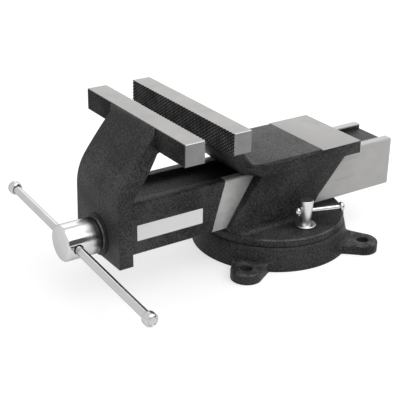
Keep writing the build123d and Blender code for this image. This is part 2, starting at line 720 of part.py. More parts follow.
def make_handle_cap(side):
    """A collar over the bar's end, with a shallow round recess in its outer face."""
    low, high = handle_ends()
    cap = bevelled_cylinder(CAP_RADIUS, CAP_LENGTH, CAP_EDGE)
    cap -= Pos(0, 0, CAP_SOCKET / 2) * Cylinder(HANDLE_RADIUS + SCREW_CLEARANCE, CAP_SOCKET)
    recess = Cylinder(CAP_RECESS_RADIUS, CAP_RECESS_DEPTH)
    cap -= Pos(0, 0, CAP_LENGTH - CAP_RECESS_DEPTH / 2) * recess
    if side > 0:
        return handle_place() * Pos(0, 0, high - CAP_LENGTH) * cap
    return handle_place() * Pos(0, 0, low + CAP_LENGTH) * Rot(180, 0, 0) * cap


# The swivel lock and pivot, whose pairs are mirrored about X = 0


def lock_place(side):
    """A lock bolt's axis on its own side."""
    return Pos(side * LOCK_X, LOCK_Y, 0)


def bar_place(side):
    """The lock bar's middle in the bolt's head, with local Z along the bar."""
    return lock_place(side) * Pos(0, 0, BAR_Z) * Rot(0, 0, -side * BAR_AZIMUTH) * Rot(-90, 0, 0)


def make_lock_bolt(side):
    """The lock bolt, whose tapered head is cross-drilled for its bar."""
    washer_top = SWIVEL_TOP_Z + LOCK_WASHER_THICKNESS
    section = [
        (0, SLOT_FLOOR_Z + SOFT_CLEARANCE),
        (LOCK_BOLT_RADIUS, SLOT_FLOOR_Z + SOFT_CLEARANCE),
        (LOCK_BOLT_RADIUS, washer_top),
        (LOCK_HEAD_FOOT_RADIUS, washer_top + LOCK_HEAD_CROWN),
        (LOCK_HEAD_TOP_RADIUS, LOCK_HEAD_TOP_Z - LOCK_HEAD_CROWN),
        (LOCK_HEAD_TOP_RADIUS - LOCK_HEAD_CROWN, LOCK_HEAD_TOP_Z),
        (0, LOCK_HEAD_TOP_Z),
    ]
    bolt = lock_place(side) * revolved(section)
    hole = Cylinder(BAR_RADIUS + HOLE_CLEARANCE, LOCK_HEAD_TOP_RADIUS * 3)
    return bolt - bar_place(side) * hole


def make_lock_washer(side):
    z = (SWIVEL_TOP_Z, SWIVEL_TOP_Z + LOCK_WASHER_THICKNESS)
    ring = disc(LOCK_WASHER_RADIUS, z) - disc(LOCK_BOLT_RADIUS + RUNNING_FIT, z)
    return lock_place(side) * ring


def make_t_nut(side):
    """A block in the ring slot with a neck between the slot's lips, tapped for the lock bolt."""
    head_top = SLOT_SHOULDER_Z - SOFT_CLEARANCE
    head = block(
        spread(SLOT_WIDTH - 2 * T_NUT_SIDE_ROOM),
        spread(T_NUT_LENGTH),
        (SLOT_FLOOR_Z + SOFT_CLEARANCE, head_top),
    )
    neck = block(
        spread(SLOT_MOUTH_WIDTH - 2 * T_NUT_NECK_ROOM),
        spread(T_NUT_NECK_LENGTH),
        (head_top, BASE_TOP_Z - T_NUT_NECK_DROP),
    )
    nut = head + neck
    nut -= disc(LOCK_BOLT_RADIUS + RUNNING_FIT, (0, BASE_TOP_Z))
    return lock_place(side) * Rot(0, 0, side * LOCK_AZIMUTH) * nut


def button_starts():
    """Where each button begins along the lock bar: one at the bolt's head, one far out."""
    return -BAR_STOP_RADIUS - BUTTON_LENGTH, BAR_REACH - BUTTON_LENGTH / 2


def make_lock_bar(side):
    near, far = button_starts()
    cover = BUTTON_LENGTH - BUTTON_SOCKET
    low = near + cover
    high = far + BUTTON_SOCKET
    bar = Pos(0, 0, (low + high) / 2) * Cylinder(BAR_RADIUS, high - low)
    return bar_place(side) * bar


def make_lock_bar_buttons(side):
    near, far = button_starts()
    button = bevelled_cylinder(BUTTON_RADIUS, BUTTON_LENGTH, BUTTON_EDGE)
    button -= Pos(0, 0, BUTTON_SOCKET / 2) * Cylinder(BAR_RADIUS + SCREW_CLEARANCE, BUTTON_SOCKET)
    near_button = Pos(0, 0, near + BUTTON_LENGTH) * Rot(180, 0, 0) * button
    far_button = Pos(0, 0, far) * button
    return Compound([bar_place(side) * near_button, bar_place(side) * far_button])


def make_pivot_bolt():
    washer_bottom = PIVOT_BOTTOM_Z - PIVOT_WASHER_THICKNESS
    head_bottom = washer_bottom - PIVOT_HEAD_HEIGHT
    corner_radius = PIVOT_HEAD_ACROSS_FLATS / sqrt(3)
    head = Pos(0, 0, head_bottom) * extrude(RegularPolygon(corner_radius, 6), PIVOT_HEAD_HEIGHT)
    return head + disc(PIVOT_BOLT_RADIUS, (washer_bottom, PIVOT_BOLT_TIP_Z))


def make_pivot_washer():
    z = (PIVOT_BOTTOM_Z - PIVOT_WASHER_THICKNESS, PIVOT_BOTTOM_Z)
    return disc(PIVOT_WASHER_RADIUS, z) - disc(PIVOT_BOLT_RADIUS + RUNNING_FIT, z)


def make_blank_label():
    """A bare label on the right side of the slide."""
    outline = RectangleRounded(LABEL_LENGTH, LABEL_HEIGHT, LABEL_CORNER)
    middle = (
        SLIDE_WIDTH / 2,
        PLATE_REAR_Y + LABEL_FROM_PLATE + LABEL_LENGTH / 2,
        SLIDE_BOTTOM_Z + LABEL_RISE + LABEL_HEIGHT / 2,
    )
    face = Plane(origin=middle, x_dir=(0, 1, 0), z_dir=(1, 0, 0)) * outline
    return extrude(face, LABEL_THICKNESS, dir=(1, 0, 0))


def all_parts():
    parts = {
        "swivel_base": make_swivel_base(),
        "fixed_body": make_fixed_body(),
        "fixed_jaw_bar": make_jaw_bar(FIXED_JAW_FACE_Y, FIXED_JAW_DEPTH),
        "moving_jaw": make_moving_jaw(),
        "moving_jaw_bar": make_jaw_bar(MOVING_JAW_FRONT_Y, MOVING_JAW_DEPTH),
        "main_screw": make_main_screw(),
        "thrust_washer": make_thrust_washer(),
        "spring_washer": make_spring_washer(),
        "retaining_collar": make_collar(),
        "collar_pin": collar_pin(COLLAR_PIN_RADIUS, COLLAR_RADIUS),
        "screw_nut": make_screw_nut(),
        "nut_bolts": make_nut_bolts(),
        "handle_bar": make_handle_bar(),
        "pivot_bolt": make_pivot_bolt(),
        "pivot_washer": make_pivot_washer(),
        "blank_label": make_blank_label(),
    }
    for name, side in SIDES.items():
        parts[f"handle_cap_{name}"] = make_handle_cap(side)
        parts[f"lock_bolt_{name}"] = make_lock_bolt(side)
        parts[f"lock_washer_{name}"] = make_lock_washer(side)
        parts[f"t_nut_{name}"] = make_t_nut(side)
        parts[f"lock_bar_{name}"] = make_lock_bar(side)
        parts[f"lock_bar_buttons_{name}"] = make_lock_bar_buttons(side)
    return parts


os.makedirs("parts", exist_ok=True)
for node, shape in all_parts().items():
    export_step(shape, f"parts/{node}.step")
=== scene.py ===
import json
import math

import bmesh
import bpy
from mathutils import Matrix, Vector


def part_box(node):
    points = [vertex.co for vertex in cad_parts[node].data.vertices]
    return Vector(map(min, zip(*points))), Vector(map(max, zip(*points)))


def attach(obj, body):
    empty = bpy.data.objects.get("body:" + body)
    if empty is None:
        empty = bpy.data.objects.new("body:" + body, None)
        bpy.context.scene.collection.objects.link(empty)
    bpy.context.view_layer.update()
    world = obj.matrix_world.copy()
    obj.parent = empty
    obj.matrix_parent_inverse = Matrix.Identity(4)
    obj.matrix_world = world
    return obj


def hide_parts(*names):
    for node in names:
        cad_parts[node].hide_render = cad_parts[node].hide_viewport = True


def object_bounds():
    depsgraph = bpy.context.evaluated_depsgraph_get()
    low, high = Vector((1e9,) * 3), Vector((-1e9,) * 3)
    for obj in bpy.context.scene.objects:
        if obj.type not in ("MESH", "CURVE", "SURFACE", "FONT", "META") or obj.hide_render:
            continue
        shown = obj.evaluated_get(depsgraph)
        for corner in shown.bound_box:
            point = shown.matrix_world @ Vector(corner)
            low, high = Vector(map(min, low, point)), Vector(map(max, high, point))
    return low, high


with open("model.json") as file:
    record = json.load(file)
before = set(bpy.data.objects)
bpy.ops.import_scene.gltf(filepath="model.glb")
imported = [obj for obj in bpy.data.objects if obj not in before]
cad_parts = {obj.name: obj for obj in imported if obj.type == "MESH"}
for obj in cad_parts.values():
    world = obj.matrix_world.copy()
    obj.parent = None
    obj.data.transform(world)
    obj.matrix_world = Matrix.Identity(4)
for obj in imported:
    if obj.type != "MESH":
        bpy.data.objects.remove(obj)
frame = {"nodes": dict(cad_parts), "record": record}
cad_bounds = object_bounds()
nodes = frame["nodes"]
behaviour = frame["record"]["behaviour"]
slot_of = {name: node.data.materials[0].name for name, node in nodes.items()}
body_of = {node: body for body, held in behaviour["bodies"].items() for node in held}
axes = {joint["name"]: Vector(joint["axis"]) for joint in behaviour["joints"]}

# The part's own sizes that the finishes and added pieces follow, in metres
SLIDE_SIDE_X = 0.0254
SLIDE_TOP_Z = 0.0790
SLIDE_BOTTOM_Z = 0.0341
PAD_FRONT_Y = 0.0237
TABLE_TOP_Z = 0.0911
SWIVEL_RADIUS = 0.0650
SWIVEL_TOP_Z = 0.0274
BASE_RADIUS = 0.0705
BASE_TOP_Z = 0.0206
LUG_TOP_Z = 0.0090
BOSS_RADIUS = 0.0175
SCREW_RADIUS = 0.0110
HANDLE_RADIUS = 0.0035
CAP_RADIUS = 0.0056
CAP_RECESS = 0.0007
BAR_RADIUS = 0.0020
BUTTON_RADIUS = 0.0042
BUTTON_LENGTH = 0.0047
LOCK_SHANK_RADIUS = 0.0050

# The slanting line across the slide's sides, ahead of which the slide is painted
SLANT_FOOT_Y = -0.0812
SLANT_FOOT_Z = 0.0351
SLANT_HEAD_Y = -0.0684
SLANT_HEAD_Z = 0.0795

# The jaws' teeth: steps along and up a jaw, steps from groove to groove, and the grooves' depth
TOOTH_COLUMNS = 150
TOOTH_ROWS = 26
TOOTH_PITCH = 4
TOOTH_DEPTH = 0.0009

# The screw's thread, the plain lengths at its ends, and the lock bolt's waist over its washer
THREAD_LEAD = 0.0050
THREAD_DEPTH = 0.0023
PLAIN_NECK = 0.0340
PLAIN_TAIL = 0.0040
TAIL_CHAMFER = 0.0020
LOCK_WAIST_RADIUS = 0.0047

# How CAD meshes are cleaned, from what angle their edges are rounded, and how far
SAME_PLACE = 2e-6
SAME_PLANE = math.radians(1.0)
ROUNDED_ANGLE = math.radians(32.0)
CASTING_EDGE = 0.0009
JAW_CASTING_EDGE = 0.0008
HARDWARE_EDGES = {
    "screw_nut": 0.0007,
    "nut_bolts": 0.0004,
    "pivot_bolt": 0.0005,
    "pivot_washer": 0.0004,
    "t_nut_right": 0.0006,
    "t_nut_left": 0.0006,
    "retaining_collar": 0.0005,
}

# How far the edges of the jaws and the lock washers are cut back
JAW_EDGE = 0.0004
WASHER_EDGE = 0.0005

# The angle from which an edge stays sharp in shading, on a CAD mesh and on a turned one
CAD_SHARP_ANGLE = math.radians(40.0)
SHARP_ANGLE = math.radians(38.0)

# The photograph's camera, and the floor and studio around the object
CAMERA_PLACE = (0.658286, -0.523150, 0.421797)
CAMERA_AZIMUTH = math.radians(55.8524)
CAMERA_ELEVATION = math.radians(24.8521)
CAMERA_ROLL = math.radians(1.020)
CAMERA_LENS_MM = 93.06
CAMERA_SENSOR_MM = 36.0
FLOOR_REACH = 4.0
FLOOR_GAP = 0.0002
DARK_SIDE = math.radians(30.0)
LAMP_AIM = (0.0, -0.04, 0.08)


# ---------------------------------------------------------------- node materials
class Nodes:
    """A node tree, with short calls to add nodes and join them."""

    def __init__(self, tree, place):
        self.tree = tree
        self.coordinates = tree.nodes.new("ShaderNodeTexCoord").outputs
        self.place = self.coordinates[place]

    def put(self, socket, value):
        """Joins another node's output to a socket, or sets the socket to a plain value."""
        if isinstance(value, bpy.types.NodeSocket):
            self.tree.links.new(value, socket)
        elif socket.type == "RGBA" and isinstance(value, (int, float)):
            socket.default_value = grey(value)
        else:
            socket.default_value = value

    def stretched(self, scale):
        """The object's own coordinates, scaled along each axis."""
        node = self.tree.nodes.new("ShaderNodeMapping")
        self.put(node.inputs["Vector"], self.place)
        node.inputs["Scale"].default_value = scale
        return node.outputs["Vector"]

    def shifted(self, by):
        """The object's own coordinates from another origin, for a second pattern like the first."""
        node = self.tree.nodes.new("ShaderNodeMapping")
        self.put(node.inputs["Vector"], self.place)
        node.inputs["Location"].default_value = (by, by, by)
        return node.outputs["Vector"]

    def noise(self, scale, detail=2.0, roughness=0.5, source=None):
        """Noise of about 0.3 to 0.7, at a scale in cycles a metre."""
        node = self.tree.nodes.new("ShaderNodeTexNoise")
        self.put(node.inputs["Vector"], source or self.place)
        node.inputs["Scale"].default_value = scale
        node.inputs["Detail"].default_value = detail
        node.inputs["Roughness"].default_value = roughness
        return node.outputs["Fac"]

    def ramp(self, value, *stops):
        """A colour ramp: each stop is its place and a grey or a colour."""
        node = self.tree.nodes.new("ShaderNodeValToRGB")
        self.put(node.inputs["Fac"], value)
        elements = node.color_ramp.elements
        while len(elements) < len(stops):
            elements.new(0.5)
        for element, (place, colour) in zip(elements, stops):
            element.position = place
            element.color = grey(colour) if isinstance(colour, (int, float)) else colour
        return node.outputs["Color"]

    def remap(self, value, low, high, new_low=0.0, new_high=1.0):
        """A value's place between low and high, clamped, on a new range."""
        node = self.tree.nodes.new("ShaderNodeMapRange")
        node.clamp = True
        self.put(node.inputs["Value"], value)
        self.put(node.inputs["From Min"], low)
        self.put(node.inputs["From Max"], high)
        self.put(node.inputs["To Min"], new_low)
        self.put(node.inputs["To Max"], new_high)
        return node.outputs["Result"]

    def math(self, operation, first, second=0.0):
        """The result of one operation on two values."""
        node = self.tree.nodes.new("ShaderNodeMath")
        node.operation = operation
        self.put(node.inputs[0], first)
        self.put(node.inputs[1], second)
        return node.outputs[0]

    def mix(self, factor, first, second, kind="RGBA"):
        """Mixes two colours, numbers (FLOAT) or directions (VECTOR)."""
        node = self.tree.nodes.new("ShaderNodeMix")
        node.data_type = kind
        sockets = [s for s in node.inputs if s.enabled]
        for socket, value in zip(sockets, (factor, first, second)):
            self.put(socket, value)
        return next(s for s in node.outputs if s.enabled)

    def axes(self, source=None):
        """The X, Y and Z of the coordinates, or of another direction."""
        node = self.tree.nodes.new("ShaderNodeSeparateXYZ")
        self.put(node.inputs[0], source or self.place)
        return node.outputs

    def length(self, x, y):
        """The length of a vector of two parts."""
        squares = [self.math("MULTIPLY", part, part) for part in (x, y)]
        return self.math("SQRT", self.math("ADD", *squares))

    def radius(self):
        """The distance from the swivel axis."""
        x, y = self.axes()[:2]
        return self.length(x, y)

    def above(self, value, edge, soft=0.0001):
        """1 where the value is above the edge, 0 below, with a soft step between."""
        return self.remap(value, edge - soft, edge + soft)

    def below(self, value, edge, soft=0.0001):
        """1 where the value is below the edge, 0 above, with a soft step between."""
        return self.remap(value, edge - soft, edge + soft, 1.0, 0.0)

    def both(self, *masks):
        """Where all the masks hold."""
        result = masks[0]
        for mask in masks[1:]:
            result = self.math("MULTIPLY", result, mask)
        return result

    def either(self, *masks):
        """Where any of the masks holds."""
        result = masks[0]
        for mask in masks[1:]:
            result = self.math("MAXIMUM", result, mask)
        return result

    def bump(self, height, distance, strength=1.0, under=None):
        """Relief of a height over another relief."""
        node = self.tree.nodes.new("ShaderNodeBump")
        self.put(node.inputs["Height"], height)
        node.inputs["Distance"].default_value = distance
        node.inputs["Strength"].default_value = strength
        if under is not None:
            self.put(node.inputs["Normal"], under)
        return node.outputs["Normal"]

    def seen(self):
        """1 for rays from the camera, a mirror or through glass, 0 for those that carry light."""
        rays = self.tree.nodes.new("ShaderNodeLightPath").outputs
        kinds = ("Camera", "Glossy", "Transmission")
        return self.either(*[rays[f"Is {kind} Ray"] for kind in kinds])


class Shader(Nodes):
    """A material with one Principled surface; its textures follow the piece's own coordinates."""

    def __init__(self, name):
        self.material = bpy.data.materials.new(name)
        self.material.use_nodes = True
        tree = self.material.node_tree
        tree.nodes.clear()
        super().__init__(tree, "Object")
        self.facing = self.coordinates["Normal"]
        self.surface = tree.nodes.new("ShaderNodeBsdfPrincipled")
        output = tree.nodes.new("ShaderNodeOutputMaterial")
        tree.links.new(self.surface.outputs[0], output.inputs["Surface"])

    def set(self, **values):
        """Sets or joins the surface's sockets, named with _ for a space."""
        for name, value in values.items():
            self.put(self.surface.inputs[name.replace("_", " ")], value)

    def edge(self):
        """1 on the rounded edges that softened() makes, 0 elsewhere."""
        node = self.tree.nodes.new("ShaderNodeAttribute")
        node.attribute_name = "rounded_edge"
        return node.outputs["Fac"]


def grey(value):
    """A grey of one value, as a colour."""
    return (value, value, value, 1.0)


def paint_layer(m, worn_and_highlit=None, light=0.056):
    """Matt charcoal paint over sand-cast iron: its colour, roughness and relief."""
    grain = m.noise(800.0, 2.0, 0.75)
    sand = m.noise(520.0, 2.0, 0.6)
    lumps = m.noise(120.0, 2.0, 0.5)
    drift = m.noise(18.0, 4.0, 0.6)
    tone = m.math("ADD", m.math("MULTIPLY", grain, 0.6), m.math("MULTIPLY", drift, 0.4))
    colour = m.ramp(tone, (0.43, 0.0015), (0.50, 0.013), (0.57, light))
    specks = m.remap(m.noise(750.0, 1.0, 0.5, m.shifted(0.37)), 0.63, 0.73, 0.0, 0.5)
    colour = m.mix(specks, colour, 0.08)
    # Rounded edges are painted lighter: rubbed-thin paint and a painted highlight.
    rubbed_and_highlit = m.math("MULTIPLY", m.edge(), m.remap(m.noise(260.0, 3.0, 0.65), 0.42, 0.66, 0.0, 0.5))
    colour = m.mix(rubbed_and_highlit, colour, 0.13)
    # Lighter where the paint is worn, with a painted highlight and a painted sheen.
    if worn_and_highlit is not None:
        colour = m.mix(worn_and_highlit, colour, 0.22)
    rough = m.remap(sand, 0.35, 0.65, 0.64, 0.50)
    relief = m.bump(sand, 0.0005, 0.6, m.bump(lumps, 0.0006, 0.25))
    return colour, rough, relief


def ground_layer(m, tone=0.31):
    """Ground steel: fine lines along Y and a faint mottle."""
    lines = m.noise(40.0, 3.0, 0.6, m.stretched((70.0, 2.0, 70.0)))
    mottle = m.noise(55.0, 4.0, 0.6)
    both = m.math("ADD", m.math("MULTIPLY", lines, 0.35), m.math("MULTIPLY", mottle, 0.65))
    colour = m.ramp(
        both,
        (0.35, (tone * 0.90, tone * 0.885, tone * 0.87, 1.0)),
        (0.65, (tone * 1.07, tone * 1.055, tone * 1.04, 1.0)),
    )
    scuffs = m.noise(22.0, 4.0, 0.65, m.stretched((3.0, 1.0, 9.0)))
    colour = m.mix(m.remap(scuffs, 0.58, 0.70, 0.0, 0.28), colour, tone * 0.6)
    rough = m.remap(mottle, 0.3, 0.7, 0.36, 0.50)
    return colour, rough, m.bump(lines, 0.0001, 0.25)


def cast_finish(name, ground, worn_and_highlit=None, dirt_and_shade=None, rubbed_and_highlit=None, tone=0.31, gloss=0.5, metal=1.0):
    """Paint with machined areas.

    Calls on the shader make the masks: ground for bare steel, wear with a painted highlight and
    dirt with painted shade for the paint, and rubbing with painted light for brighter steel.
    """
    m = Shader(name)
    paint, paint_rough, paint_relief = paint_layer(m, worn_and_highlit(m) if worn_and_highlit else None)
    steel, steel_rough, steel_relief = ground_layer(m, tone)
    # Dirt and painted shade darken the paint almost to black.
    if dirt_and_shade:
        paint = m.mix(dirt_and_shade(m), paint, 0.003)
    # Rubbing and painted light make the steel lighter.
    if rubbed_and_highlit:
        steel = m.mix(rubbed_and_highlit(m), steel, 0.9)
    bare = ground(m)
    m.set(
        Base_Color=m.mix(bare, paint, steel),
        Roughness=m.mix(bare, paint_rough, steel_rough, "FLOAT"),
        Metallic=m.math("MULTIPLY", bare, metal),
        Normal=m.mix(bare, paint_relief, steel_relief, "VECTOR"),
        Specular_IOR_Level=gloss,
    )
    return m.material


def slide_ground(m):
    """The rails are machined behind a slanting line, ahead of which the slide is painted."""
    x, y, z = m.axes()
    wavy = m.math("MULTIPLY", m.math("SUBTRACT", m.noise(120.0), 0.5), 0.0012)
    slant = m.remap(z, SLANT_FOOT_Z, SLANT_HEAD_Z, SLANT_FOOT_Y, SLANT_HEAD_Y)
    edge_y = m.math("ADD", slant, wavy)
    behind = m.remap(m.math("SUBTRACT", y, edge_y), -0.0001, 0.0002)
    outer = m.above(m.math("ABSOLUTE", x), SLIDE_SIDE_X - 0.0011)
    faces = m.either(outer, m.above(z, SLIDE_TOP_Z - 0.0011), m.below(z, SLIDE_BOTTOM_Z + 0.0011))
    return m.both(behind, faces)


def jaw_grease_and_shade(m):
    """Old grease and painted shade, darkening the paint between the slide's rails and on the boss
    round the screw.
    """
    x, y, z = m.axes()
    between = m.below(m.math("ABSOLUTE", x), SLIDE_SIDE_X - 0.0030, 0.0008)
    level = m.both(m.above(z, SLIDE_BOTTOM_Z), m.below(z, SLIDE_TOP_Z - 0.0005))
    inside = m.both(between, level, m.above(y, -0.12, 0.02))
    above_screw = m.math("SUBTRACT", z, middle("main_screw").z)
    near_screw = m.below(m.length(x, above_screw), BOSS_RADIUS + 0.0004, 0.0003)
    boss = m.both(near_screw, m.below(y, -0.1))
    return m.math("MULTIPLY", m.either(inside, boss), 0.75)


def pad_ground(m):
    """The milled pad of the table."""
    y, z = m.axes()[1:]
    return m.both(m.above(z, TABLE_TOP_Z - 0.0006), m.above(y, PAD_FRONT_Y))


def body_wear_and_highlight(m):
    """Lighter paint: rubbed thin with a painted highlight on the swivel plate's rim, and dust with
    a painted sheen on the table.
    """
    y, z = m.axes()[1:]
    radius = m.radius()
    band = m.both(
        m.above(radius, SWIVEL_RADIUS - 0.0011),
        m.below(radius, SWIVEL_RADIUS + 0.0002),
        m.above(z, SWIVEL_TOP_Z - 0.0012),
        m.below(z, SWIVEL_TOP_Z + 0.0002),
    )
    # The rim's band is lighter: rubbed-thin paint and a painted highlight.
    rim = m.both(band, m.remap(m.noise(70.0, 3.0, 0.6), 0.35, 0.65, 0.0, 0.36))
    # The table top is lighter: dust and a painted sheen.
    top = m.above(z, TABLE_TOP_Z - 0.0004)
    table = m.both(top, m.below(y, PAD_FRONT_Y), m.above(y, -0.03, 0.02))
    dust_and_sheen = m.both(table, m.remap(m.noise(30.0, 4.0, 0.7), 0.3, 0.7, 0.0, 0.15))
    return m.either(rim, dust_and_sheen)


def lug_wear_and_highlight(m):
    """Paint lighter on the lugs' upper edges: rubbed thin, with a painted highlight."""
    z = m.axes()[2]
    edge = m.both(m.above(z, LUG_TOP_Z - 0.0013), m.below(z, LUG_TOP_Z + 0.00005))
    band = m.both(m.above(m.radius(), BASE_RADIUS + 0.0017), edge)
    return m.both(band, m.remap(m.noise(160.0, 3.0, 0.6), 0.44, 0.62, 0.0, 0.28))


def joint_grime_and_shade(m):
    """A dark band where the swivel plate meets the base: grime and painted shade in the seam."""
    radius = m.radius()
    outside = m.above(radius, SWIVEL_RADIUS - 0.0020, 0.0005)
    inside = m.below(radius, SWIVEL_RADIUS + 0.0015, 0.0003)
    height = m.math("ABSOLUTE", m.math("SUBTRACT", m.axes()[2], BASE_TOP_Z))
    patches = m.remap(m.noise(45.0), 0.2, 0.6, 0.6, 0.95)
    return m.both(outside, inside, m.below(height, 0.0006, 0.0004), patches)


def slide_painted_light(m):
    """The front of the rails is lighter than the rest: painted light, in faint streaks."""
    streaks = m.remap(m.noise(90.0, 3.0, 0.6), 0.35, 0.65, 0.15, 0.40)
    return m.both(m.below(m.axes()[1], -0.030, 0.010), streaks)


def base_paint():
    """The base's paint, a little darker, with lug edges lighter from wear and painted highlight,
    and a joint dark from grime and painted shade.
    """
    m = Shader("base_paint")
    colour, rough, relief = paint_layer(m, lug_wear_and_highlight(m), 0.044)
    colour = m.mix(joint_grime_and_shade(m), colour, 0.0015)
    m.set(Base_Color=colour, Roughness=rough, Normal=relief, Specular_IOR_Level=0.25)
    return m.material


def black_paint():
    """Plain charcoal paint, which every part of its slot starts from."""
    m = Shader("black_paint")
    colour, rough, relief = paint_layer(m)
    m.set(Base_Color=colour, Roughness=rough, Normal=relief)
    return m.material


def ground_steel():
    """Ground steel all over."""
    m = Shader("ground_steel")
    colour, rough, relief = ground_layer(m)
    m.set(Base_Color=colour, Roughness=rough, Normal=relief, Metallic=1.0)
    return m.material


def jaw_finish(name, painted_side, teeth_y):
    """A jaw: ground on top and ends, painted on its outer side and below, its teeth dark in the
    grooves and light at the tips, with a painted highlight on its top corners.

    The outer side is at +Y (1.0) or at -Y (-1.0), and the teeth's tips are at teeth_y.
    """
    m = Shader(name)
    paint = paint_layer(m)[0]
    steel = ground_layer(m, 0.285)[0]
    normal_x, normal_y, normal_z = m.axes(m.facing)
    outward = m.math("MULTIPLY", normal_y, painted_side)
    painted = m.either(m.above(outward, 0.7, 0.05), m.below(normal_z, -0.7, 0.05))
    depth = m.math("MULTIPLY", m.math("SUBTRACT", m.axes()[1], teeth_y), painted_side)
    inward = m.above(m.math("MULTIPLY", outward, -1.0), 0.2, 0.05)
    toothed = m.both(m.below(depth, TOOTH_DEPTH + 0.0001), inward)
    wear = m.remap(m.noise(90.0, 3.0, 0.6), 0.35, 0.65, 0.6, 1.4)
    # The teeth are light at their tips and near black in their grooves: wear and oxide, with
    # painted highlight and shade.
    flanks = m.remap(depth, TOOTH_DEPTH * 0.28, TOOTH_DEPTH * 0.55, 0.20, 0.010)
    tooth = m.math("MULTIPLY", wear, flanks)
    end = m.above(m.math("ABSOLUTE", normal_x), 0.8, 0.1)
    end_steel = m.ramp(m.noise(70.0, 3.0, 0.6), (0.3, 0.20), (0.7, 0.25))
    steel = m.mix(end, steel, end_steel)
    # A painted highlight on the chamfers where the ends meet the top.
    corner = m.both(m.above(m.math("ABSOLUTE", normal_x), 0.35, 0.1), m.above(normal_z, 0.35, 0.1))
    steel = m.mix(m.math("MULTIPLY", corner, 0.7), steel, 0.6)
    colour = m.mix(toothed, m.mix(painted, steel, paint), tooth)
    bare = m.math("SUBTRACT", 1.0, m.either(painted, toothed))
    m.set(
        Base_Color=colour,
        Metallic=bare,
        Roughness=m.remap(bare, 0.0, 1.0, 0.65, 0.42),
        Specular_IOR_Level=0.1,
        Normal=m.bump(m.noise(700.0, 2.0, 0.7), 0.0003, 0.10),
    )
    return m.material


def chrome(name="chrome", tone=0.55, rough=0.12, oil_y=None):
    """Polished plate with a faint buffed haze, and an oily film from oil_y toward the rear."""
    m = Shader(name)
    smear = m.noise(60.0, 3.0, 0.55)
    colour = m.ramp(smear, (0.3, tone * 0.96), (0.7, tone * 1.03))
    roughness = m.remap(smear, 0.3, 0.7, rough * 0.85, rough * 1.2)
    if oil_y is not None:
        y = m.axes()[1]
        film = m.remap(y, oil_y - 0.002, oil_y + 0.006, 0.0, 0.15)
        roughness = m.math("ADD", roughness, film)
        stain = m.remap(y, oil_y + 0.008, oil_y + 0.012, 0.0, 0.85)
        colour = m.mix(stain, colour, 0.09)
    m.set(Base_Color=colour, Metallic=1.0, Roughness=roughness, Specular_Tint=0.55)
    return m.material


def zinc_plate(name="zinc_plate", rough=0.26, tone=0.70):
    """Satin plate with a faint cloud."""
    m = Shader(name)
    cloud = m.noise(180.0, 3.0, 0.6)
    m.set(
        Base_Color=m.ramp(cloud, (0.3, tone * 0.95), (0.7, tone * 1.05)),
        Metallic=1.0,
        Roughness=m.remap(cloud, 0.3, 0.7, rough, rough * 1.2),
    )
    return m.material


def oiled_steel():
    """Dark machined steel under a patchy film of oil."""
    m = Shader("oiled_steel")
    film = m.noise(80.0, 3.0, 0.6)
    m.set(
        Base_Color=m.ramp(film, (0.3, 0.17), (0.7, 0.27)),
        Metallic=1.0,
        Roughness=m.remap(film, 0.3, 0.7, 0.25, 0.42),
        Normal=m.bump(film, 0.0002, 0.15),
    )
    return m.material


def label_paper():
    """White label stock."""
    m = Shader("label")
    fibre = m.noise(700.0, 3.0, 0.6)
    m.set(
        Base_Color=m.ramp(fibre, (0.3, (0.93, 0.94, 0.93, 1.0)), (0.7, (0.98, 0.99, 0.98, 1.0))),
        Roughness=0.35,
        Normal=m.bump(fibre, 0.0001, 0.1),
    )
    return m.material


# The finish of each material slot of the record
FINISHES = {
    "black_paint": black_paint(),
    "ground_steel": ground_steel(),
    "chrome": chrome(),
    "zinc_plate": zinc_plate(),
    "oiled_steel": oiled_steel(),
    "label": label_paper(),
}


def finish_nodes():
    """Each CAD node takes the finish of the slot that its packed material names."""
    for name, node in nodes.items():
        slots = node.data.materials
        slots.clear()
        slots.append(FINISHES[slot_of[name]])


# ---------------------------------------------------------------- pieces made here
def add_piece(mesh, name, node, finish=None):
    """Shows a mesh in place of a CAD node, on the node's own body, with the given finish or that of
    the node's slot.
    """
    body, slot = body_of[node], slot_of[node]
    piece = bpy.data.objects.new(name, mesh)
    bpy.context.scene.collection.objects.link(piece)
    mesh.materials.clear()
    mesh.materials.append(finish or FINISHES[slot])
    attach(piece, body)
    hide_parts(node)


def merged(mesh, angle, distance=None):
    """Merges a mesh's faces that lie within an angle, and first its points within a distance."""
    work = bmesh.new()
    work.from_mesh(mesh)
    if distance:
        bmesh.ops.remove_doubles(work, verts=work.verts, dist=distance)
    bmesh.ops.dissolve_limit(work, angle_limit=angle, verts=work.verts, edges=work.edges)
    work.to_mesh(mesh)
    work.free()
    return mesh


def softened(node, width):
    """A copy of a CAD node's mesh with its sharp edges rounded, and those roundings marked."""
    mesh = merged(nodes[node].data.copy(), SAME_PLANE, SAME_PLACE)
    # The roundings take a second material slot for a moment, by which they are told apart
    mesh.materials.append(mesh.materials[0])
    holder = bpy.data.objects.new("holder", mesh)
    bpy.context.scene.collection.objects.link(holder)
    bevel = holder.modifiers.new("edges", "BEVEL")
    bevel.limit_method = "ANGLE"
    bevel.angle_limit = ROUNDED_ANGLE
    bevel.width = width
    bevel.segments = 2
    bevel.harden_normals = False
    bevel.material = 1
    result = evaluated(holder)
    marks = result.attributes.new("rounded_edge", "FLOAT", "FACE")
    for face, mark in zip(result.polygons, marks.data):
        mark.value = float(face.material_index)
        face.material_index = 0
    result.shade_smooth()
    result.set_sharp_from_angle(angle=CAD_SHARP_ANGLE)
    return result


def evaluated(holder):
    """The holder's mesh with its modifiers applied; the holder is removed."""
    depsgraph = bpy.context.evaluated_depsgraph_get()
    result = bpy.data.meshes.new_from_object(holder.evaluated_get(depsgraph))
    bpy.data.objects.remove(holder)
    return result


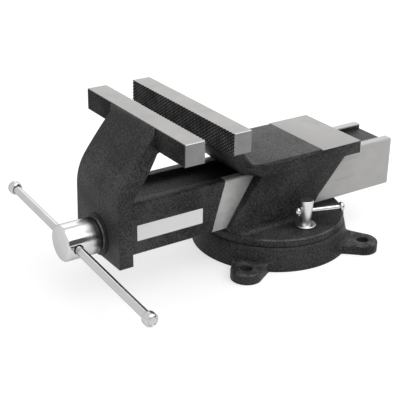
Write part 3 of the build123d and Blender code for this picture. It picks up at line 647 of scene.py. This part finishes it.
def closed_mesh(name, points, faces):
    """A mesh of a closed surface, whose faces all face outward."""
    mesh = bpy.data.meshes.new(name)
    mesh.from_pydata(points, [], faces)
    work = bmesh.new()
    work.from_mesh(mesh)
    bmesh.ops.recalc_face_normals(work, faces=work.faces)
    work.to_mesh(mesh)
    work.free()
    return mesh


def sections_mesh(name, sections):
    """Quads between closed sections of equal length, with the two ends closed."""
    count = len(sections[0])
    points = [point for section in sections for point in section]
    faces = []
    for row in range(len(sections) - 1):
        for i in range(count):
            j = (i + 1) % count
            low, high = row * count, (row + 1) * count
            faces.append((low + i, low + j, high + j, high + i))
    faces.append(tuple(reversed(range(count))))
    faces.append(tuple(range(len(points) - count, len(points))))
    return closed_mesh(name, points, faces)


def toothed_bar(node, face_is_low):
    """A jaw with a diamond pattern of pyramids cut into its clamping face."""
    low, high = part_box(node)
    middle_y, middle_z = (low.y + high.y) / 2, (low.z + high.z) / 2
    face_y, back_y = (low.y, high.y) if face_is_low else (high.y, low.y)
    inward = 1 if face_is_low else -1
    sections = []
    for column in range(TOOTH_COLUMNS + 1):
        x = low.x + (high.x - low.x) * column / TOOTH_COLUMNS
        section = []
        for row in range(TOOTH_ROWS + 1):
            cut = max(flank(column + row, TOOTH_PITCH), flank(column - row, TOOTH_PITCH))
            y = face_y + inward * TOOTH_DEPTH * cut
            section.append((x, y, low.z + (high.z - low.z) * row / TOOTH_ROWS))
        section.append((x, back_y - inward * JAW_EDGE, high.z))
        section.append((x, back_y, high.z - JAW_EDGE))
        section.append((x, back_y, low.z + JAW_EDGE))
        section.append((x, back_y - inward * JAW_EDGE, low.z))
        sections.append(section)
    # The outermost section of each end moves inward, and a smaller one takes its place
    for last, beside in ((0, 1), (-1, -2)):
        shift = math.copysign(JAW_EDGE, sections[beside][0][0] - sections[last][0][0])
        tip = []
        for x, y, z in sections[last]:
            tip_y = y + math.copysign(JAW_EDGE, middle_y - y)
            tip_z = z + math.copysign(JAW_EDGE, middle_z - z)
            tip.append((x, tip_y, tip_z))
        sections[last] = [(x + shift, y, z) for x, y, z in sections[last]]
        sections.insert(0 if last == 0 else len(sections), tip)
    return merged(sections_mesh(node + "_toothed", sections), 0.001)


def flank(steps, pitch):
    """1 at a groove and 0 midway to the next."""
    return abs((steps % pitch) - pitch / 2) / (pitch / 2)


def turned(name, profile, steps=64, ring=False):
    """A solid turned about local Z from radius and height; a ring's profile closes on itself."""
    points, faces = [], []
    for radius, height in profile:
        for i in range(steps):
            angle = 2 * math.pi * i / steps
            points.append((radius * math.cos(angle), radius * math.sin(angle), height))
    rows = len(profile)
    for i in range(steps):
        j = (i + 1) % steps
        for row in range(rows if ring else rows - 1):
            a, b = row * steps, (row + 1) % rows * steps
            faces.append((a + i, a + j, b + j, b + i))
    if not ring:
        faces.append(tuple(reversed(range(steps))))
        faces.append(tuple(range(len(points) - steps, len(points))))
    mesh = closed_mesh(name, points, faces)
    mesh.shade_smooth()
    mesh.set_sharp_from_angle(angle=SHARP_ANGLE)
    return mesh


def placed(mesh, origin, direction):
    """Moves a turned mesh so that its local Z runs from an origin along a direction."""
    turn = Vector(direction).to_track_quat("Z", "Y").to_matrix().to_4x4()
    mesh.transform(Matrix.Translation(origin) @ turn)
    return mesh


def joined(first, second):
    """One mesh of two that lie apart or meet."""
    work = bmesh.new()
    work.from_mesh(first)
    work.from_mesh(second)
    work.to_mesh(first)
    work.free()
    return first


def drilled(mesh, origin, direction, radius):
    """A mesh with a hole through it along a line."""
    reach = 0.05
    start = Vector(origin) - Vector(direction) * reach
    cutter = placed(turned("cutter", [(radius, 0), (radius, 2 * reach)], 40), start, direction)
    holder = bpy.data.objects.new("holder", mesh)
    tool = bpy.data.objects.new("tool", cutter)
    for item in (holder, tool):
        bpy.context.scene.collection.objects.link(item)
    cut = holder.modifiers.new("hole", "BOOLEAN")
    cut.operation = "DIFFERENCE"
    cut.solver = "EXACT"
    cut.object = tool
    result = evaluated(holder)
    bpy.data.objects.remove(tool)
    result.shade_smooth()
    result.set_sharp_from_angle(angle=SHARP_ANGLE)
    return result


def middle(node):
    """The middle of a CAD node's box."""
    low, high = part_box(node)
    return (low + high) / 2


def span(node, direction, origin):
    """How far a node reaches along a direction from an origin: its low and high end."""
    reach = [(v.co - origin).dot(direction) for v in nodes[node].data.vertices]
    return min(reach), max(reach)


def rounded(points, radius, steps=4):
    """A profile of radius and height with its inner corners rounded."""
    result = [points[0]]
    for before, corner, after in zip(points, points[1:], points[2:]):
        corner = Vector(corner)
        back, ahead = Vector(before) - corner, Vector(after) - corner
        start = corner + back.normalized() * min(radius, back.length * 0.49)
        end = corner + ahead.normalized() * min(radius, ahead.length * 0.49)
        for step in range(steps + 1):
            t = step / steps
            point = start * (1 - t) ** 2 + corner * 2 * t * (1 - t) + end * t * t
            result.append(tuple(point))
    result.append(points[-1])
    return result


def main_screw():
    """The chromed, cross-drilled head, with a thread cut on the screw's shank."""
    low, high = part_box("main_screw")
    centre = middle("main_screw")
    radius = (high.x - low.x) / 2
    rear_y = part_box("thrust_washer")[0].y
    length = rear_y - low.y
    crown, front_edge, rear_edge = 0.0003, 0.0012, 0.0009
    profile = rounded(
        [
            (0.0006, 0.0),
            (radius - front_edge, crown),
            (radius, crown + front_edge),
            (radius, length - rear_edge),
            (radius - rear_edge, length),
            (SCREW_RADIUS - 0.001, length),
        ],
        0.0012,
    )
    hole_y = middle("handle_bar").y
    hole, beside = hole_y - low.y, 0.0045
    for height in (0.0032, hole - beside, hole + beside, length - 0.0024):
        profile = with_row(profile, height)
    head = placed(turned("main_screw", profile, 96), (0, low.y, centre.z), (0, 1, 0))
    head = drilled(head, (0, hole_y, centre.z), axes["handle_slide"], HANDLE_RADIUS + 0.0008)
    work = bmesh.new()
    work.from_mesh(head)
    add_thread(work, rear_y - 0.0005, high.y, centre.z)
    work.to_mesh(head)
    work.free()
    head.set_sharp_from_angle(angle=SHARP_ANGLE)
    return head


def with_row(profile, height):
    """A profile with one more row at a height, so that shading stays even round a hole."""
    for i, (low, high) in enumerate(zip(profile, profile[1:])):
        if low[1] < height < high[1]:
            share = (height - low[1]) / (high[1] - low[1])
            radius = low[0] + (high[0] - low[0]) * share
            return profile[: i + 1] + [(radius, height)] + profile[i + 1 :]
    return profile


def add_thread(work, start_y, end_y, centre_z):
    """Adds a shank with a right-handed thread to the screw, plain at both ends."""
    around = 36
    plain_front, plain_rear = start_y + PLAIN_NECK, end_y - PLAIN_TAIL
    # One turn of the thread: the share of the lead, and the share of the depth cut there
    shape = ((0.0, 0.0), (0.30, 0.0), (0.42, 1.0), (0.88, 1.0))
    turns = int((plain_rear - plain_front) / THREAD_LEAD) + 1
    rows = [(start_y, 0.0), (plain_front, 0.0)]
    for turn in range(turns):
        for share, cut in shape:
            rows.append((plain_front + (turn + share) * THREAD_LEAD, cut))
    rows = [row for row in rows if row[0] < plain_rear]
    rows += [(plain_rear, 0.0), (end_y - TAIL_CHAMFER, 0.0)]
    rings = []
    for y, cut in rows:
        ring = []
        for i in range(around):
            angle = 2 * math.pi * i / around
            shift = THREAD_LEAD * i / around if plain_front < y < plain_rear else 0.0
            place = min(y + shift, plain_rear)
            depth = THREAD_DEPTH * cut if place < plain_rear - 0.0001 else 0.0
            radius = SCREW_RADIUS - depth
            point = (radius * math.cos(angle), place, centre_z + radius * math.sin(angle))
            ring.append(work.verts.new(point))
        rings.append(ring)
    tip = []
    for vert in rings[-1]:
        point = (vert.co.x * 0.82, end_y, centre_z + (vert.co.z - centre_z) * 0.82)
        tip.append(work.verts.new(point))
    rings.append(tip)
    for low, high in zip(rings, rings[1:]):
        for i in range(around):
            j = (i + 1) % around
            face = work.faces.new((low[i], low[j], high[j], high[i]))
            face.smooth = True
    work.faces.new(tip)
    work.faces.new(list(reversed(rings[0])))
    bmesh.ops.recalc_face_normals(work, faces=work.faces)


def handle_pieces():
    """The handle's bar, and its two caps with a shallow recess in their ends."""
    axis = axes["handle_slide"]
    centre = middle("handle_bar")
    low, high = span("handle_bar", axis, centre)
    bar = turned("handle_bar", [(HANDLE_RADIUS, low), (HANDLE_RADIUS, high)], 48)
    pieces = [("handle_rod", placed(bar, centre, axis), "handle_bar")]
    for side, outward in (("right", axis), ("left", -axis)):
        node = f"handle_cap_{side}"
        start, end = span(node, outward, centre)
        length = end - start
        profile = rounded(
            [
                (HANDLE_RADIUS - 0.0002, 0.0004),
                (HANDLE_RADIUS + 0.0006, 0.0),
                (CAP_RADIUS - 0.0012, 0.0),
                (CAP_RADIUS, 0.0013),
                (CAP_RADIUS, length - 0.0016),
                (CAP_RADIUS - 0.0014, length),
                (0.0036, length),
                (0.0032, length - CAP_RECESS),
                (0.0004, length - CAP_RECESS),
            ],
            0.0011,
        )
        cap = placed(turned(node, profile, 56), centre + outward * start, outward)
        pieces.append((f"handle_knob_{side}", cap, node))
    return pieces


def lock_bolt(side):
    """The tapered, cross-drilled head of a lock bolt on its shank."""
    node = f"lock_bolt_{side}"
    low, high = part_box(node)
    centre = middle(node)
    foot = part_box(f"lock_washer_{side}")[1].z - low.z
    length = high.z - low.z
    top = (high.x - low.x) / 2
    profile = rounded(
        [
            (0.0005, 0.0),
            (LOCK_SHANK_RADIUS, 0.0006),
            (LOCK_SHANK_RADIUS, foot + 0.0002),
            (LOCK_WAIST_RADIUS, foot + 0.0008),
            (top, length - 0.0007),
            (top - 0.0006, length),
            (0.0005, length),
        ],
        0.0006,
    )
    bar_z = middle(f"lock_bar_{side}").z
    for offset in (-0.0022, 0.0022):
        profile = with_row(profile, bar_z - low.z + offset)
    bolt = placed(turned(node, profile, 72), (centre.x, centre.y, low.z), (0, 0, 1))
    hole = (centre.x, centre.y, bar_z)
    return drilled(bolt, hole, axes[f"lock_bar_slide_{side}"], BAR_RADIUS + 0.0003)


def lock_washer(side):
    """A lock bolt's flange washer, with rounded edges."""
    node = f"lock_washer_{side}"
    low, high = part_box(node)
    radius = (high.x - low.x) / 2
    height = high.z - low.z
    inner = LOCK_SHANK_RADIUS + 0.00005
    profile = [
        (inner, 0.0),
        (radius - WASHER_EDGE, 0.0),
        (radius - 0.0002, 0.0002),
        (radius, WASHER_EDGE),
        (radius, height - WASHER_EDGE),
        (radius - 0.0002, height - 0.0002),
        (radius - WASHER_EDGE, height),
        (inner, height),
    ]
    centre = middle(node)
    return placed(turned(node, profile, 64, ring=True), (centre.x, centre.y, low.z), (0, 0, 1))


def button(name):
    """A lock bar's button, domed at its end."""
    profile = rounded(
        [
            (BAR_RADIUS - 0.0002, 0.0002),
            (BAR_RADIUS + 0.0004, 0.0),
            (BUTTON_RADIUS - 0.0010, 0.0),
            (BUTTON_RADIUS, 0.0010),
            (BUTTON_RADIUS, BUTTON_LENGTH - 0.0020),
            (BUTTON_RADIUS - 0.0016, BUTTON_LENGTH - 0.0001),
            (0.0012, BUTTON_LENGTH),
            (0.0003, BUTTON_LENGTH),
        ],
        0.0010,
    )
    return turned(name, profile, 48)


def lock_bar_pieces(side):
    """A lock bar, and its two buttons as one piece."""
    axis = axes[f"lock_bar_slide_{side}"]
    centre = middle(f"lock_bar_{side}")
    low, high = span(f"lock_bar_{side}", axis, centre)
    bar = placed(turned("lock_bar", [(BAR_RADIUS, low), (BAR_RADIUS, high)], 32), centre, axis)
    start, end = span(f"lock_bar_buttons_{side}", axis, centre)
    near = placed(button("near"), centre + axis * (start + BUTTON_LENGTH), -axis)
    far = placed(button("far"), centre + axis * (end - BUTTON_LENGTH), axis)
    buttons = joined(near, far)
    buttons.set_sharp_from_angle(angle=SHARP_ANGLE)
    return bar, buttons


def make_castings():
    """The three castings, with rounded edges, paint and machined areas."""
    add_piece(softened("swivel_base", CASTING_EDGE), "base_casting", "swivel_base", base_paint())
    # The body's and jaw's masks paint highlight, sheen and shade as well as wear and dirt.
    body_paint = cast_finish(
        "body_paint",
        pad_ground,
        worn_and_highlit=body_wear_and_highlight,
        dirt_and_shade=joint_grime_and_shade,
        tone=0.275,
        gloss=0.25,
    )
    add_piece(softened("fixed_body", CASTING_EDGE), "body_casting", "fixed_body", body_paint)
    jaw_paint = cast_finish(
        "jaw_paint",
        slide_ground,
        dirt_and_shade=jaw_grease_and_shade,
        rubbed_and_highlit=slide_painted_light,
        tone=0.45,
        gloss=0.3,
        metal=0.30,
    )
    add_piece(softened("moving_jaw", JAW_CASTING_EDGE), "jaw_casting", "moving_jaw", jaw_paint)


def make_jaws():
    """The two jaw bars, with the teeth on the sides that face each other."""
    fixed_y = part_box("fixed_jaw_bar")[0].y
    fixed_steel = jaw_finish("fixed_jaw_steel", 1.0, fixed_y)
    add_piece(toothed_bar("fixed_jaw_bar", True), "fixed_jaw", "fixed_jaw_bar", fixed_steel)
    moving_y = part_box("moving_jaw_bar")[1].y
    moving_steel = jaw_finish("moving_jaw_steel", -1.0, moving_y)
    toothed = toothed_bar("moving_jaw_bar", False)
    add_piece(toothed, "moving_jaw_teeth", "moving_jaw_bar", moving_steel)


def make_screw_and_handle():
    """The screw with its polished head, which is oily toward the rear, and its handle."""
    oil_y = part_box("main_screw")[0].y + 0.014
    bright = chrome("screw_chrome", 0.62, 0.10, oil_y)
    add_piece(main_screw(), "threaded_screw", "main_screw", bright)
    rod = chrome("handle_chrome", 0.55, 0.18)
    for name, mesh, node in handle_pieces():
        add_piece(mesh, name, node, rod)


def make_locks():
    """The two swivel locks: a bolt and its washer, and a smoother bar with its buttons."""
    polished = zinc_plate("zinc_polished", 0.22, 0.60)
    for side in ("right", "left"):
        add_piece(lock_bolt(side), f"lock_head_{side}", f"lock_bolt_{side}")
        add_piece(lock_washer(side), f"lock_flange_{side}", f"lock_washer_{side}")
        bar, buttons = lock_bar_pieces(side)
        add_piece(bar, f"lock_rod_{side}", f"lock_bar_{side}", polished)
        add_piece(buttons, f"lock_buttons_{side}", f"lock_bar_buttons_{side}", polished)


def make_hardware():
    """The plain steel hardware inside and under the vise, with rounded edges."""
    for node, width in HARDWARE_EDGES.items():
        add_piece(softened(node, width), f"{node}_rounded", node)


# ---------------------------------------------------------------- floor, light and camera
def stage_material():
    """A pale floor, white where it is seen, which keeps the object's shadow."""
    m = Shader("stage")
    fleck = m.noise(40.0, 2.0, 0.5)
    m.set(Base_Color=m.ramp(fleck, (0.0, 0.50), (1.0, 0.52)), Roughness=0.9)
    m.set(Emission_Color=grey(1.0), Emission_Strength=m.math("MULTIPLY", m.seen(), 0.60))
    return m.material


def add_floor():
    """A floor just under the object."""
    mesh = bpy.data.meshes.new("floor")
    square = ((-1, -1), (1, -1), (1, 1), (-1, 1))
    corners = [(x * FLOOR_REACH, y * FLOOR_REACH, 0) for x, y in square]
    mesh.from_pydata(corners, [], [(0, 1, 2, 3)])
    floor = bpy.data.objects.new("floor", mesh)
    floor.location.z = cad_bounds[0][2] - FLOOR_GAP
    bpy.context.scene.collection.objects.link(floor)
    mesh.materials.append(stage_material())


def add_world():
    """A white studio, softer as light than as seen, with a dark side that only mirrors show."""
    world = bpy.data.worlds.new("studio")
    bpy.context.scene.world = world
    world.use_nodes = True
    background = world.node_tree.nodes["Background"]
    sky = Nodes(world.node_tree, "Generated")
    x, y, z = sky.axes()
    across = sky.math("MULTIPLY", x, math.cos(DARK_SIDE))
    toward = sky.math("ADD", across, sky.math("MULTIPLY", y, math.sin(DARK_SIDE)))
    level = sky.both(sky.below(z, 0.47, 0.02), sky.above(z, -0.2, 0.1))
    dark = sky.both(sky.remap(toward, 0.55, 0.72), level)
    rays = world.node_tree.nodes.new("ShaderNodeLightPath").outputs
    shade = sky.remap(sky.both(dark, rays["Is Glossy Ray"]), 0.0, 1.0, 1.0, 0.12)
    plain = sky.remap(sky.seen(), 0.0, 1.0, 0.60, 1.0)
    background.inputs["Color"].default_value = grey(1.0)
    sky.put(background.inputs["Strength"], sky.math("MULTIPLY", plain, shade))


def add_softbox(name, place, size, power):
    """A square lamp that faces the object, with its side in metres and its power in watts."""
    lamp = bpy.data.lights.new(name, "AREA")
    lamp.shape = "RECTANGLE"
    lamp.size = lamp.size_y = size
    lamp.energy = power
    softbox = bpy.data.objects.new(name, lamp)
    softbox.location = place
    aim = Vector(LAMP_AIM) - Vector(place)
    softbox.rotation_euler = aim.to_track_quat("-Z", "Y").to_euler()
    bpy.context.scene.collection.objects.link(softbox)


def add_camera():
    """The photograph's viewing angle, with its small roll."""
    level = math.cos(CAMERA_ELEVATION)
    back = Vector((
        math.sin(CAMERA_AZIMUTH) * level,
        -math.cos(CAMERA_AZIMUTH) * level,
        math.sin(CAMERA_ELEVATION),
    ))
    right = (-back).cross(Vector((0, 0, 1))).normalized()
    up = right.cross(-back)
    tilted_right = right * math.cos(CAMERA_ROLL) + up * math.sin(CAMERA_ROLL)
    tilted_up = up * math.cos(CAMERA_ROLL) - right * math.sin(CAMERA_ROLL)
    lens = bpy.data.cameras.new("camera")
    lens.sensor_fit = "HORIZONTAL"
    lens.sensor_width = CAMERA_SENSOR_MM
    lens.lens = CAMERA_LENS_MM
    camera = bpy.data.objects.new("camera", lens)
    turn = Matrix((tilted_right, tilted_up, back)).transposed().to_4x4()
    camera.matrix_world = Matrix.Translation(CAMERA_PLACE) @ turn
    bpy.context.scene.collection.objects.link(camera)
    bpy.context.scene.camera = camera


finish_nodes()
make_castings()
make_jaws()
make_screw_and_handle()
make_locks()
make_hardware()
add_floor()
add_world()
add_softbox("key", (0.45, 0.20, 1.00), 1.4, 8.0)
add_softbox("back", (-1.00, 0.70, 0.75), 1.3, 4.0)
add_camera()
bpy.context.scene.view_settings.view_transform = "Standard"
